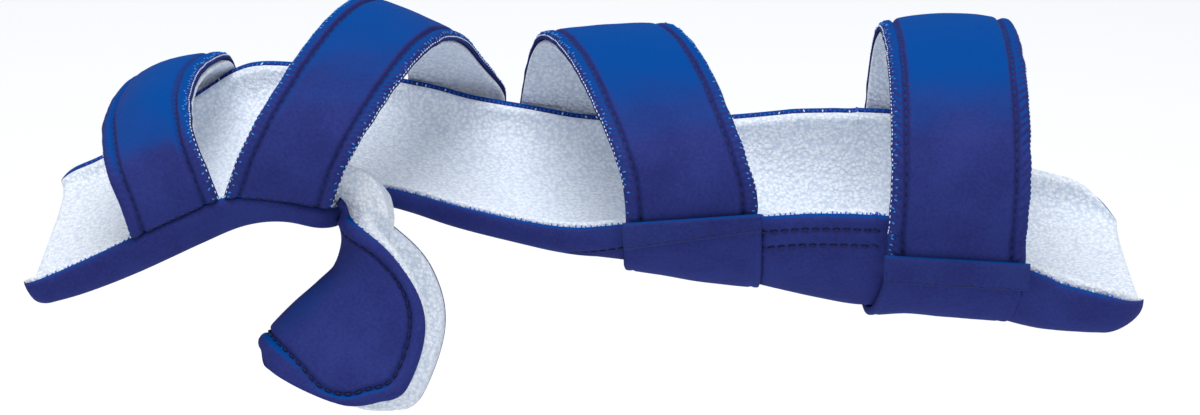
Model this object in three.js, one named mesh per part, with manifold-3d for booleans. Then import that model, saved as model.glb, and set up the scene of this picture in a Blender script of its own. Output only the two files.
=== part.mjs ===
// Resting hand splint for a right hand: a padded tray from the fingertips to
// the forearm, a padded thumb trough below its near edge, and four padded
// straps closed in the shape they have round a hand and arm.
// Millimetres, +Z up. Fingers point to -X and the thumb side is -Y.
// The origin is on the lining, in the middle of the tray, under the wrist.
import * as THREE from 'three';
import { mergeVertices } from 'three/addons/utils/BufferGeometryUtils.js';
import Module from 'manifold-3d';

const wasm = await Module();
wasm.setup();

// Layers of cloth and padding
const LINING = 4.0;          // terry lining, and its foam
const COVER = 3.5;           // loop cloth cover, and its foam
const GAP = 0.3;             // room left between neighbouring layers
const STRAP_LINING = 2.0;    // soft inner half of a strap
const STRAP_FACE = 2.2;      // loop cloth outer half of a strap
const BAND = 2.4;            // plain band that runs under the tray
const TAB = 2.0;             // hook tab sewn over a strap's near end
const TRAY_WALL = LINING + GAP + COVER;
const STRAP_WALL = STRAP_LINING + GAP + STRAP_FACE;

// Straps and bands where they meet the tray
const SEAT_LIFT = 0.6;       // between a strap and the wall that it lies on
const RIM_LIFT = 0.8;        // between a sewn strap and the rim that it stands on
const TAB_HEIGHT = 8;        // up the strap
const TAB_OVERHANG = 1;      // past each side of the strap

// Widths of the straps and the places of their ends along the tray. slope
// turns an end's width up towards the forearm end, in degrees.
const ENDS = {
  finger: { width: 28, nearX: -121.8, farX: -125, farSlope: 27 },
  palm: { width: 31, nearX: -92.4, farX: -45, farSlope: -12 },
  wrist: { width: 38, nearX: 27, nearSlope: 8, farX: -6, farSlope: -6 },
  forearm: { width: 40, nearX: 102.5, nearSlope: -3.5, farX: 102.5, farSlope: -6 },
};

// Shares across the tray, from -1 at its near rim to 1 at its far rim, where
// straps and bands lie on its walls
const FAR_SEAT = [1, 0.9, 0.8];
const WRIST_SEAT = [-0.95, -1];
const FOREARM_SEAT = [-0.82, -0.91, -1];
const BAND_FAR = 0.72;

// Bands under the tray: the share across the tray where a band's near end lies,
// and how far the band drifts towards the hand on its way under the tray
const BAND_WIDTH = 40;
const BANDS = {
  wrist: { near: -0.94, drift: 0 },
  forearm: { near: -0.79, drift: -4.6 },
};

// Thumb trough: its cross direction leans down by this angle, away from the
// thumb side, and its middle lies this far along that direction
const THUMB_ROLL = THREE.MathUtils.degToRad(22);
const THUMB_MIDDLE = -34;

// Steps of the faceted walls
const TRAY_STEPS = 36;
const THUMB_STEPS = 18;
const ACROSS_STEPS = 12;
const STRAP_STEPS = 23;
const BAND_STEPS = 20;

const BLUE = 0x2b3a95;
const DEEP_BLUE = 0x27357f;
const WHITE = 0xdfe6f2;

// Sections of the tray from the fingertips to the forearm end. x and z place
// the lining's middle; width is from the middle to a wall and rise is the
// wall's height above the lining, on the near (thumb) and far side; square is
// 2 for an elliptical section and more for a flatter floor.
const TRAY = [
  { x: -166.6, z: -9.9, nearWidth: 38, nearRise: 3.0, farWidth: 38, farRise: 3.0, square: 3.4 },
  { x: -162.6, z: -8.7, nearWidth: 39.5, nearRise: 4.2, farWidth: 39.5, farRise: 4.2, square: 3.5 },
  { x: -152, z: -5.9, nearWidth: 40, nearRise: 6.0, farWidth: 40, farRise: 6.0, square: 3.6 },
  { x: -136, z: 0.4, nearWidth: 41, nearRise: 7.6, farWidth: 41, farRise: 8.6, square: 3.6 },
  { x: -118, z: 9.3, nearWidth: 42, nearRise: 8.0, farWidth: 42, farRise: 12.2, square: 3.4 },
  { x: -104, z: 15.0, nearWidth: 42, nearRise: 7.9, farWidth: 42, farRise: 14.5, square: 3.2 },
  { x: -90, z: 18.4, nearWidth: 42, nearRise: 3.2, farWidth: 42, farRise: 10.6, square: 3.0 },
  { x: -80, z: 16.7, nearWidth: 41, nearRise: 2.4, farWidth: 42, farRise: 11.0, square: 3.0 },
  { x: -74, z: 15.6, nearWidth: 35, nearRise: 1.6, farWidth: 42, farRise: 10.9, square: 3.0 },
  { x: -70, z: 14.8, nearWidth: 22, nearRise: 1.0, farWidth: 41, farRise: 11.0, square: 3.0 },
  { x: -64, z: 13.0, nearWidth: 13, nearRise: 1.0, farWidth: 41, farRise: 11.5, square: 3.0 },
  { x: -54, z: 10.2, nearWidth: 12, nearRise: 1.2, farWidth: 40, farRise: 12.5, square: 3.0 },
  { x: -42, z: 7.0, nearWidth: 15, nearRise: 2.0, farWidth: 38, farRise: 13.0, square: 3.0 },
  { x: -24, z: 3.6, nearWidth: 22, nearRise: 3.8, farWidth: 36, farRise: 13.8, square: 2.6 },
  { x: -8, z: 1.4, nearWidth: 31, nearRise: 7.4, farWidth: 35, farRise: 13.4, square: 2.3 },
  { x: 8, z: -0.6, nearWidth: 35, nearRise: 12.4, farWidth: 35, farRise: 14.4, square: 2.4 },
  { x: 28, z: -4.0, nearWidth: 36, nearRise: 18.0, farWidth: 36, farRise: 18.0, square: 2.8 },
  { x: 52, z: -10.6, nearWidth: 37, nearRise: 27.0, farWidth: 37, farRise: 27.0, square: 2.8 },
  { x: 66, z: -14.2, nearWidth: 37.5, nearRise: 30.6, farWidth: 37.5, farRise: 30.6, square: 2.8 },
  { x: 78, z: -16.4, nearWidth: 38, nearRise: 32.2, farWidth: 38, farRise: 32.2, square: 2.8 },
  { x: 91, z: -15.6, nearWidth: 38.3, nearRise: 30.4, farWidth: 38.3, farRise: 30.4, square: 2.8 },
  { x: 104, z: -16.4, nearWidth: 39, nearRise: 25.8, farWidth: 39, farRise: 25.8, square: 2.8 },
  { x: 117, z: -18.4, nearWidth: 39.7, nearRise: 19.4, farWidth: 39.7, farRise: 19.4, square: 2.8 },
  { x: 130, z: -21.0, nearWidth: 40, nearRise: 16.8, farWidth: 40, farRise: 16.8, square: 2.8 },
  { x: 147, z: -20.9, nearWidth: 40, nearRise: 12.0, farWidth: 40, farRise: 12.0, square: 2.8 },
  { x: 155.5, z: -20.4, nearWidth: 36.5, nearRise: 7.4, farWidth: 36.5, farRise: 7.4, square: 2.8 },
  { x: 160, z: -20.2, nearWidth: 29, nearRise: 3.4, farWidth: 29, farRise: 3.4, square: 2.8 },
];

// Sections of the thumb trough in its own leaning plane, from the palm over
// the web of the thumb and down to the thumb's tip. x and z place the lining;
// pad is the lining's further thickness, over the web.
const THUMB = [
  { x: -81.0, z: 9.6, nearWidth: 10, nearRise: 0.4, farWidth: 10, farRise: 0.6, square: 2.4, pad: 3.0 },
  { x: -74.0, z: 8.4, nearWidth: 11, nearRise: 0.4, farWidth: 11, farRise: 1.0, square: 2.4, pad: 4.0 },
  { x: -68.6, z: 3.4, nearWidth: 11, nearRise: 0.4, farWidth: 11, farRise: 2.0, square: 2.4, pad: 5.5 },
  { x: -67.0, z: -4.6, nearWidth: 11, nearRise: 1.5, farWidth: 11, farRise: 5.0, square: 2.4, pad: 6.0 },
  { x: -67.6, z: -12.9, nearWidth: 11, nearRise: 11.5, farWidth: 11, farRise: 18.0, square: 2.4, pad: 3.5 },
  { x: -70.9, z: -21.2, nearWidth: 11, nearRise: 25.5, farWidth: 11, farRise: 30.0, square: 2.6, pad: 1.0 },
  { x: -77.0, z: -27.2, nearWidth: 11, nearRise: 33.0, farWidth: 11, farRise: 37.5, square: 2.6, pad: 0 },
  { x: -83.9, z: -33.2, nearWidth: 11, nearRise: 31.0, farWidth: 11, farRise: 36.5, square: 2.6, pad: 0 },
  { x: -90.2, z: -40.0, nearWidth: 11, nearRise: 26.0, farWidth: 11, farRise: 30.0, square: 2.6, pad: 0 },
  { x: -93.8, z: -44.4, nearWidth: 10.5, nearRise: 15.8, farWidth: 10.5, farRise: 18.5, square: 2.6, pad: 0 },
];
const THUMB_COVER_START = 0.2;    // share of the trough where its cover begins

// Middle lines of the straps' free stretches, from the near side over the limb
// to the far side
const FINGER_STRAP = [
  { x: -123.5, y: -46, z: 23.5, slope: 27 },
  { x: -128, y: -39, z: 31.5, slope: 23 },
  { x: -131.3, y: -19, z: 34.8, slope: 20 },
  { x: -131.3, y: 4, z: 34.2, slope: 20 },
  { x: -129, y: 25, z: 31.5, slope: 18 },
  { x: -126.5, y: 40, z: 26.5, slope: 20 },
];
const PALM_STRAP = [
  { x: -88.4, y: -46.5, z: 31.5, slope: -6 },
  { x: -81.2, y: -40, z: 42.8, slope: -10 },
  { x: -70.3, y: -21, z: 54, slope: -15 },
  { x: -62, y: 0, z: 56, slope: -21 },
  { x: -55.5, y: 22, z: 48.5, slope: -25 },
  { x: -50, y: 38, z: 34, slope: -20 },
];
const WRIST_STRAP = [
  { x: 25.5, y: -45, z: 25, slope: -1 },
  { x: 21, y: -38.5, z: 36, slope: 0 },
  { x: 14.5, y: -22, z: 46, slope: 4 },
  { x: 8, y: 0, z: 48.8, slope: 5 },
  { x: 2, y: 22, z: 45, slope: 4 },
  { x: -2.5, y: 36.5, z: 35, slope: 2 },
];
const FOREARM_STRAP = [
  { x: 102.5, y: -48.5, z: 19, slope: 0 },
  { x: 103, y: -44, z: 33, slope: 0 },
  { x: 103.5, y: -26, z: 46, slope: 1 },
  { x: 104, y: 0, z: 50, slope: 1 },
  { x: 104, y: 26, z: 46, slope: 1 },
  { x: 103.5, y: 44, z: 33, slope: 0 },
];

// Thickness of a strap's face, as a share of STRAP_FACE, at distances in from
// its edge: turned edge, puffed border, stitched groove, flat middle
const STRAP_PROFILE = [
  { inset: 0, lift: 0.45 },
  { inset: 2.2, lift: 1.0 },
  { inset: 4.2, lift: 0.65 },
  { inset: 6.2, lift: 1.0 },
];
const STRAP_CROWN = 1.1;

// Helpers: tables, grids and booleans

const evenSteps = (from, to, count) =>
  Array.from({ length: count + 1 }, (_, i) => from + ((to - from) * i) / count);

// A table row at a share of the table's length, by a Catmull-Rom curve
function rowAt(table, share) {
  const place = Math.min(Math.max(share, 0), 1) * (table.length - 1);
  const i = Math.min(Math.floor(place), table.length - 2);
  const t = place - i;
  const rows = [-1, 0, 1, 2].map((k) => table[Math.min(Math.max(i + k, 0), table.length - 1)]);
  const blended = {};
  for (const column of Object.keys(table[0])) {
    const [a, b, c, d] = rows.map((row) => row[column]);
    const slopeIn = (c - a) / 2;
    const slopeOut = (d - b) / 2;
    blended[column] = (2 * b - 2 * c + slopeIn + slopeOut) * t ** 3
      + (-3 * b + 3 * c - 2 * slopeIn - slopeOut) * t ** 2 + slopeIn * t + b;
  }
  return blended;
}

// A closed wall between two heights over a grid of places
function wallGeometry(place, along, across, inner, outer) {
  const points = [];
  for (const height of [inner, outer]) {
    for (const s of along) {
      for (const t of across) points.push(place(s, t, height(t)));
    }
  }
  const columns = across.length;
  const last = { i: along.length - 1, j: columns - 1 };
  const at = (layer, i, j) => (layer * along.length + i) * columns + j;
  const triangles = [];
  const quad = (a, b, c, d) => triangles.push(a, b, c, a, c, d);
  for (let i = 0; i < last.i; i += 1) {
    for (let j = 0; j < last.j; j += 1) {
      quad(at(0, i, j), at(0, i, j + 1), at(0, i + 1, j + 1), at(0, i + 1, j));
      quad(at(1, i, j), at(1, i + 1, j), at(1, i + 1, j + 1), at(1, i, j + 1));
    }
    quad(at(0, i, 0), at(0, i + 1, 0), at(1, i + 1, 0), at(1, i, 0));
    quad(at(0, i, last.j), at(1, i, last.j), at(1, i + 1, last.j), at(0, i + 1, last.j));
  }
  for (let j = 0; j < last.j; j += 1) {
    quad(at(0, 0, j), at(1, 0, j), at(1, 0, j + 1), at(0, 0, j + 1));
    quad(at(0, last.i, j), at(0, last.i, j + 1), at(1, last.i, j + 1), at(1, last.i, j));
  }
  const geometry = new THREE.BufferGeometry().setFromPoints(points);
  geometry.setIndex(triangles);
  return facingOut(geometry);
}

function signedVolume(geometry) {
  const { position } = geometry.attributes;
  const index = geometry.getIndex().array;
  const corner = [new THREE.Vector3(), new THREE.Vector3(), new THREE.Vector3()];
  let volume = 0;
  for (let k = 0; k < index.length; k += 3) {
    corner.forEach((v, n) => v.fromBufferAttribute(position, index[k + n]));
    volume += corner[0].dot(corner[1].clone().cross(corner[2])) / 6;
  }
  return volume;
}

function facingOut(geometry) {
  if (signedVolume(geometry) < 0) geometry.setIndex([...geometry.getIndex().array].reverse());
  return geometry;
}

function toSolid(geometry) {
  const bare = geometry.clone();
  bare.deleteAttribute('normal');
  bare.deleteAttribute('uv');
  const merged = mergeVertices(bare, 1e-4);
  return new wasm.Manifold(new wasm.Mesh({
    numProp: 3,
    vertProperties: new Float32Array(merged.attributes.position.array),
    triVerts: new Uint32Array(merged.getIndex().array),
  }));
}

function toGeometry(solid) {
  const mesh = solid.getMesh();
  const geometry = new THREE.BufferGeometry();
  geometry.setAttribute('position', new THREE.BufferAttribute(mesh.vertProperties, 3));
  geometry.setIndex(new THREE.BufferAttribute(mesh.triVerts, 1));
  return geometry;
}

// Gutters: a spine in a leaning plane with a curved section across it

// roll leans the plane of the spine back about X, and middle shifts it across
function makeGutter(table, roll, middle) {
  const up = new THREE.Vector3(0, Math.sin(roll), Math.cos(roll));
  const side = new THREE.Vector3(0, Math.cos(roll), -Math.sin(roll));
  const STEP = 1e-3;

  function spine(share) {
    const row = rowAt(table, share);
    const ahead = rowAt(table, share + STEP);
    const behind = rowAt(table, share - STEP);
    const tangent = new THREE.Vector2(ahead.x - behind.x, ahead.z - behind.z).normalize();
    const normal = new THREE.Vector3(-tangent.y, 0, 0).addScaledVector(up, tangent.x);
    const point = new THREE.Vector3(row.x, 0, 0).addScaledVector(up, row.z);
    return { row, point: point.addScaledVector(side, middle), normal };
  }

  function section(row, t) {
    const angle = (t * Math.PI) / 2;
    const power = 2 / row.square;
    const width = t < 0 ? row.nearWidth : row.farWidth;
    const rise = t < 0 ? row.nearRise : row.farRise;
    const reach = Math.abs(Math.sin(angle)) ** power;
    const drop = Math.max(Math.cos(angle), 0) ** power;
    return new THREE.Vector2(Math.sign(t) * width * reach, rise * (1 - drop));
  }

  // depth is measured out from the lining's inner surface, through the wall
  function place(share, t, depth) {
    const { row, point, normal } = spine(share);
    const here = section(row, t);
    const run = section(row, Math.min(t + STEP, 1)).sub(section(row, Math.max(t - STEP, -1)));
    run.normalize();
    const across = here.x + run.y * depth;
    const height = here.y - run.x * depth;
    return point.addScaledVector(side, across).addScaledVector(normal, height);
  }

  // share of the spine at a given x, found by halving; x runs one way there
  function shareAt(x) {
    let low = 0;
    let high = 1;
    for (let n = 0; n < 40; n += 1) {
      const middleShare = (low + high) / 2;
      if (rowAt(table, middleShare).x < x) low = middleShare;
      else high = middleShare;
    }
    return low;
  }
  return { place, spine, shareAt };
}

const tray = makeGutter(TRAY, 0, 0);
const thumb = makeGutter(THUMB, THUMB_ROLL, THUMB_MIDDLE);
const ACROSS = evenSteps(-1, 1, ACROSS_STEPS);
const fixed = (height) => () => height;

function gutterWall(gutter, shares, inner, outer) {
  return wallGeometry(gutter.place, shares, ACROSS, fixed(inner), fixed(outer));
}

// Straps: a band along a middle line, thick to the outside

// The slope of the tray's line at a share across it, in degrees
function traySlope(share, t) {
  const STEP = 1e-3;
  const run = tray.place(share + STEP, t, TRAY_WALL).sub(tray.place(share - STEP, t, TRAY_WALL));
  return THREE.MathUtils.radToDeg(Math.atan2(run.z, run.x));
}

function strapRow(point, slope) {
  return { x: point.x, y: point.y, z: point.z, slope };
}

// A point that stands off a wall's outer face, at a share across the tray.
// The wall leans along the tray, so the place is moved back by that lean.
function offWall(x, t, lift) {
  const depth = TRAY_WALL + SEAT_LIFT + lift;
  const lean = tray.place(tray.shareAt(x), t, depth).x - x;
  return tray.place(tray.shareAt(x - lean), t, depth);
}

// Rows of a strap that lies on a wall's outer face
function onWall(x, shares, slope) {
  return shares.map((t) => strapRow(offWall(x, t, 0), slope));
}

// A strap's end standing on the near wall's rim, flush with the outer face
function onRim(x) {
  const depth = TRAY_WALL - STRAP_WALL;
  const lean = tray.place(tray.shareAt(x), -1, depth).x - x;
  const share = tray.shareAt(x - lean);
  const point = tray.place(share, -1, depth);
  return strapRow(point.addScaledVector(tray.spine(share).normal, RIM_LIFT), traySlope(share, -1));
}

// Shares along a strap are shares of its length
function makeStrap(table, width) {
  const STEP = 1e-3;
  const SAMPLES = 240;
  const onTable = (share) => {
    const row = rowAt(table, share);
    return new THREE.Vector3(row.x, row.y, row.z);
  };
  const runs = [0];
  for (let n = 1; n <= SAMPLES; n += 1) {
    const step = onTable(n / SAMPLES).distanceTo(onTable((n - 1) / SAMPLES));
    runs.push(runs[n - 1] + step);
  }
  const length = runs[SAMPLES];

  function tableShare(share) {
    const run = Math.min(Math.max(share, 0), 1) * length;
    const n = Math.max(runs.findIndex((sum) => sum >= run), 1);
    return (n - 1 + (run - runs[n - 1]) / (runs[n] - runs[n - 1])) / SAMPLES;
  }
  const pointAt = (share) => onTable(tableShare(share));

  // t is a share of the width and height stands out from the limb
  function place(share, t, height) {
    const turn = THREE.MathUtils.degToRad(rowAt(table, tableShare(share)).slope);
    const across = new THREE.Vector3(Math.cos(turn), 0, Math.sin(turn));
    const tangent = pointAt(share + STEP).sub(pointAt(share - STEP));
    const normal = across.clone().cross(tangent).normalize();
    return pointAt(share).addScaledVector(across, t * width).addScaledVector(normal, height);
  }
  return { place, length, width };
}

const STRAP_ALONG = evenSteps(0, 1, STRAP_STEPS);
const LINING_ACROSS = [-0.49, 0, 0.49];
const BAND_ACROSS = evenSteps(-0.5, 0.5, 3);

function faceProfile(width) {
  const near = STRAP_PROFILE.map(({ inset, lift }) => ({ across: inset / width - 0.5, lift }));
  const far = near.map(({ across, lift }) => ({ across: -across, lift })).reverse();
  return [...near, { across: 0, lift: STRAP_CROWN }, ...far];
}

function strapLining(strap) {
  return wallGeometry(strap.place, STRAP_ALONG, LINING_ACROSS, fixed(0), fixed(STRAP_LINING));
}

function strapFace(strap) {
  const inner = STRAP_LINING + GAP;
  const profile = faceProfile(strap.width);
  const outer = (t) => inner + STRAP_FACE * profile.find((row) => row.across === t).lift;
  const across = profile.map((row) => row.across);
  return wallGeometry(strap.place, STRAP_ALONG, across, fixed(inner), outer);
}

// The hook tab over a strap's near end
function strapTab(strap) {
  const inner = STRAP_WALL + STRAP_FACE * (STRAP_CROWN - 1) + GAP;
  const reach = 0.5 + TAB_OVERHANG / strap.width;
  const along = evenSteps(0, TAB_HEIGHT / strap.length, 2);
  return wallGeometry(strap.place, along, [-reach, 0, reach], fixed(inner), fixed(inner + TAB));
}

// The plain band under the tray, from its far wall to a share of the near one.
// It keeps to the tray's form, and its near end is parallel to the strap's.
function trayBand({ nearX, nearSlope }, { near, drift }) {
  const level = offWall(nearX, near, 0).z;
  const climb = Math.tan(THREE.MathUtils.degToRad(nearSlope));

  // share across the tray where the wall has the near end's level, by halving
  function endShare(x) {
    let high = -1;
    let low = -0.5;
    for (let n = 0; n < 30; n += 1) {
      const middle = (high + low) / 2;
      if (offWall(x, middle, 0).z < level + climb * (x - nearX)) low = middle;
      else high = middle;
    }
    return low;
  }

  function place(share, across, height) {
    const t = BAND_FAR + (near - BAND_FAR) * share;
    const x = nearX + across * BAND_WIDTH;
    const up = t < 0 ? (t / near) ** 2 : 0;
    return offWall(x + drift * (1 - up), t + (endShare(x) - near) * up, height);
  }
  return wallGeometry(place, evenSteps(0, 1, BAND_STEPS), BAND_ACROSS, fixed(0), fixed(BAND));
}

// Assembly

const splint = new THREE.Group();

function addPiece(name, geometry, color, roughness = 0.9) {
  const material = new THREE.MeshStandardMaterial({ color, roughness, metalness: 0 });
  geometry.computeVertexNormals();
  const mesh = new THREE.Mesh(geometry, material);
  mesh.name = name;
  splint.add(mesh);
}

const TRAY_ALONG = evenSteps(0, 1, TRAY_STEPS);
addPiece('tray_lining', gutterWall(tray, TRAY_ALONG, 0, LINING), WHITE);
addPiece('tray_cover', gutterWall(tray, TRAY_ALONG, LINING + GAP, TRAY_WALL), BLUE);

// What meets the tray is trimmed clear of it, by a block that is grown by room
function grownTray(room) {
  const rows = TRAY.map((row) => (
    { ...row, nearRise: row.nearRise + room, farRise: row.farRise + room }
  ));
  return toSolid(gutterWall(makeGutter(rows, 0, 0), TRAY_ALONG, -room, TRAY_WALL + room));
}

function trimmed(geometry, block) {
  const pieces = toSolid(geometry).subtract(block).decompose();
  pieces.sort((a, b) => b.volume() - a.volume());
  return toGeometry(pieces[0]);
}
const strapRoom = grownTray(GAP);
const thumbRoom = grownTray(2 * GAP);

const THUMB_ALONG = evenSteps(0, 1, THUMB_STEPS);
const COVER_ALONG = THUMB_ALONG.filter((share) => share > THUMB_COVER_START);
const overWeb = (share, t, depth) => (
  thumb.place(share, t, depth > 0 ? depth : -rowAt(THUMB, share).pad)
);
const thumbLining = wallGeometry(overWeb, THUMB_ALONG, ACROSS, fixed(0), fixed(LINING));
const thumbCover = gutterWall(thumb, COVER_ALONG, LINING + GAP, TRAY_WALL);
addPiece('thumb_lining', trimmed(thumbLining, thumbRoom), WHITE);
addPiece('thumb_cover', trimmed(thumbCover, thumbRoom), BLUE);

const nearRows = {
  finger: [onRim(ENDS.finger.nearX)],
  palm: [onRim(ENDS.palm.nearX)],
  wrist: onWall(ENDS.wrist.nearX, WRIST_SEAT, ENDS.wrist.nearSlope),
  forearm: onWall(ENDS.forearm.nearX, FOREARM_SEAT, ENDS.forearm.nearSlope),
};
const freeRows = {
  finger: FINGER_STRAP,
  palm: PALM_STRAP,
  wrist: WRIST_STRAP,
  forearm: FOREARM_STRAP,
};
const straps = {};
for (const [name, end] of Object.entries(ENDS)) {
  const farRows = onWall(end.farX, FAR_SEAT, end.farSlope);
  const strap = makeStrap([...nearRows[name], ...freeRows[name], ...farRows], end.width);
  addPiece(`${name}_strap`, trimmed(strapFace(strap), strapRoom), BLUE);
  addPiece(`${name}_strap_lining`, trimmed(strapLining(strap), strapRoom), WHITE);
  straps[name] = strap;
}
addPiece('wrist_tab', strapTab(straps.wrist), DEEP_BLUE);
addPiece('forearm_tab', strapTab(straps.forearm), DEEP_BLUE);
const wristBand = trayBand(ENDS.wrist, BANDS.wrist);
const forearmBand = trayBand(ENDS.forearm, BANDS.forearm);
addPiece('wrist_band', trimmed(wristBand, strapRoom), BLUE);
addPiece('forearm_band', trimmed(forearmBand, strapRoom), BLUE);

export default splint;
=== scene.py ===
# %% [markdown]
# A resting hand splint is sewn from two cloths over thin foam: a blue loop cloth
# outside and a white terry cloth inside. It has a long trough, a small thumb trough
# beside it and four straps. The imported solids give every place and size. This lesson
# dresses them: each cell makes one part of the splint, and each text cell says what
# the part is and why it is made that way.

# %% Load the frame
import math
import random
from bisect import bisect_left
from collections import namedtuple

import bmesh
import bpy
from mathutils import Matrix, Vector, noise


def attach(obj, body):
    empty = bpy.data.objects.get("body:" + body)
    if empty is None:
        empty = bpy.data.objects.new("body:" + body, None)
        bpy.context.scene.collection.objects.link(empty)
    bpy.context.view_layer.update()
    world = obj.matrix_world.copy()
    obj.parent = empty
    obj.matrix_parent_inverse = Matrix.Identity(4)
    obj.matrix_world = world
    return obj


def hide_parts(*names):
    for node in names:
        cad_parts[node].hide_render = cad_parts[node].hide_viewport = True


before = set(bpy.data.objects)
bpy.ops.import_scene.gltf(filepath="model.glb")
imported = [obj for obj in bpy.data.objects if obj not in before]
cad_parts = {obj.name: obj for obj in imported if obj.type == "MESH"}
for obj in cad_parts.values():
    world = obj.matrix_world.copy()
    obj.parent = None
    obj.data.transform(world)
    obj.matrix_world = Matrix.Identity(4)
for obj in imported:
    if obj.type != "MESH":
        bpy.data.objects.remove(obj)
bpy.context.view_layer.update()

MM = 0.001

# %% [markdown]
# The camera comes first, because it settles how large things show. It stands on
# the side of the thumb trough, 22 degrees above the level of the origin and 1.1 m
# away. A picture 1200 pixels wide then shows 0.30 mm to a pixel at the origin.

# %% Camera
PICTURE_WIDTH = 1200
PIXEL_AT_ORIGIN = 0.30 * MM
CAMERA_DISTANCE = 1.1
CAMERA_RISE = math.radians(22)
SENSOR = 36.0

camera_data = bpy.data.cameras.new("camera")
camera_data.sensor_width = SENSOR
camera_data.sensor_fit = "HORIZONTAL"
camera_data.lens = SENSOR * CAMERA_DISTANCE / (PIXEL_AT_ORIGIN * PICTURE_WIDTH)
camera = bpy.data.objects.new("camera", camera_data)
camera.location = CAMERA_DISTANCE * Vector((0, -math.cos(CAMERA_RISE), math.sin(CAMERA_RISE)))
camera.rotation_euler = (math.pi / 2 - CAMERA_RISE, 0, 0)
bpy.context.scene.collection.objects.link(camera)
bpy.context.scene.camera = camera
print("lens", round(camera_data.lens, 1), "mm")

# %% [markdown]
# Two troughs carry everything else. A trough is a spine with a curved section
# across it, so a short table of sections is enough to describe it. It could be
# modelled by pushing points about one by one, but a table keeps the shape equal to
# the solids, and its rows can be read as real sizes. Lengths are millimetres.

# %% Sections of the two troughs
Section = namedtuple("Section", "x z near_width near_rise far_width far_rise square pad")
TRAY = [
    Section(-166.6, -9.9, 38, 3.0, 38, 3.0, 3.4, 0),
    Section(-162.6, -8.7, 39.5, 4.2, 39.5, 4.2, 3.5, 0),
    Section(-152, -5.9, 40, 6.0, 40, 6.0, 3.6, 0),
    Section(-136, 0.4, 41, 7.6, 41, 8.6, 3.6, 0),
    Section(-118, 9.3, 42, 8.0, 42, 12.2, 3.4, 0),
    Section(-104, 15.0, 42, 7.9, 42, 14.5, 3.2, 0),
    Section(-90, 18.4, 42, 3.2, 42, 10.6, 3.0, 0),
    Section(-80, 16.7, 41, 2.4, 42, 11.0, 3.0, 0),
    Section(-74, 15.6, 35, 1.6, 42, 10.9, 3.0, 0),
    Section(-70, 14.8, 22, 1.0, 41, 11.0, 3.0, 0),
    Section(-64, 13.0, 13, 1.0, 41, 11.5, 3.0, 0),
    Section(-54, 10.2, 12, 1.2, 40, 12.5, 3.0, 0),
    Section(-42, 7.0, 15, 2.0, 38, 13.0, 3.0, 0),
    Section(-24, 3.6, 22, 3.8, 36, 13.8, 2.6, 0),
    Section(-8, 1.4, 31, 7.4, 35, 13.4, 2.3, 0),
    Section(8, -0.6, 35, 12.4, 35, 14.4, 2.4, 0),
    Section(28, -4.0, 36, 18.0, 36, 18.0, 2.8, 0),
    Section(52, -10.6, 37, 27.0, 37, 27.0, 2.8, 0),
    Section(66, -14.2, 37.5, 30.6, 37.5, 30.6, 2.8, 0),
    Section(78, -16.4, 38, 32.2, 38, 32.2, 2.8, 0),
    Section(91, -15.6, 38.3, 30.4, 38.3, 30.4, 2.8, 0),
    Section(104, -16.4, 39, 25.8, 39, 25.8, 2.8, 0),
    Section(117, -18.4, 39.7, 19.4, 39.7, 19.4, 2.8, 0),
    Section(130, -21.0, 40, 16.8, 40, 16.8, 2.8, 0),
    Section(147, -20.9, 40, 12.0, 40, 12.0, 2.8, 0),
    Section(155.5, -20.4, 36.5, 7.4, 36.5, 7.4, 2.8, 0),
    Section(160, -20.2, 29, 3.4, 29, 3.4, 2.8, 0),
]
THUMB = [
    Section(-81.0, 9.6, 10, 0.4, 10, 0.6, 2.4, 3.0),
    Section(-74.0, 8.4, 11, 0.4, 11, 1.0, 2.4, 4.0),
    Section(-68.6, 3.4, 11, 0.4, 11, 2.0, 2.4, 5.5),
    Section(-67.0, -4.6, 11, 1.5, 11, 5.0, 2.4, 6.0),
    Section(-67.6, -12.9, 11, 11.5, 11, 18.0, 2.4, 3.5),
    Section(-70.9, -21.2, 11, 25.5, 11, 30.0, 2.6, 1.0),
    Section(-77.0, -27.2, 11, 33.0, 11, 37.5, 2.6, 0),
    Section(-83.9, -33.2, 11, 31.0, 11, 36.5, 2.6, 0),
    Section(-90.2, -40.0, 11, 26.0, 11, 30.0, 2.6, 0),
    Section(-93.8, -44.4, 10.5, 15.8, 10.5, 18.5, 2.6, 0),
]
THUMB_ROLL = math.radians(22)
THUMB_MIDDLE = -34


def row_at(table, share):
    """A row at a share of the table's length, on a smooth curve through the rows."""
    place = min(max(share, 0), 1) * (len(table) - 1)
    i = min(int(place), len(table) - 2)
    t = place - i
    rows = [table[min(max(i + k, 0), len(table) - 1)] for k in (-1, 0, 1, 2)]
    values = []
    for a, b, c, d in zip(*rows):
        into, out = (c - a) / 2, (d - b) / 2
        cubic = (2 * b - 2 * c + into + out) * t ** 3
        values.append(cubic + (-3 * b + 3 * c - 2 * into - out) * t ** 2 + into * t + b)
    return type(table[0])(*values)


print("trough sections:", len(TRAY), "thumb sections:", len(THUMB))

# %% [markdown]
# A section is an ellipse with a flatter floor. Its own parameter bunches up at
# the rim, where the sewing is, so places are given by the distance along the
# cloth instead: -1 is the near rim, 0 the middle of the floor and 1 the far rim.

# %% A trough as a surface
TINY = 1e-3
SAMPLES = 48
SHORTEST = 1e-9
STEPS = 400


def running_lengths(points):
    """The distance along a line of points from the first to each one."""
    sums = [0.0]
    for a, b in zip(points, points[1:]):
        sums.append(sums[-1] + (b - a).length)
    return sums


def share_at(sums, run):
    """The share of a line's points that lies before a distance along it."""
    n = max(bisect_left(sums, run), 1)
    part = (run - sums[n - 1]) / (sums[n] - sums[n - 1])
    return (n - 1 + part) / (len(sums) - 1)


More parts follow.
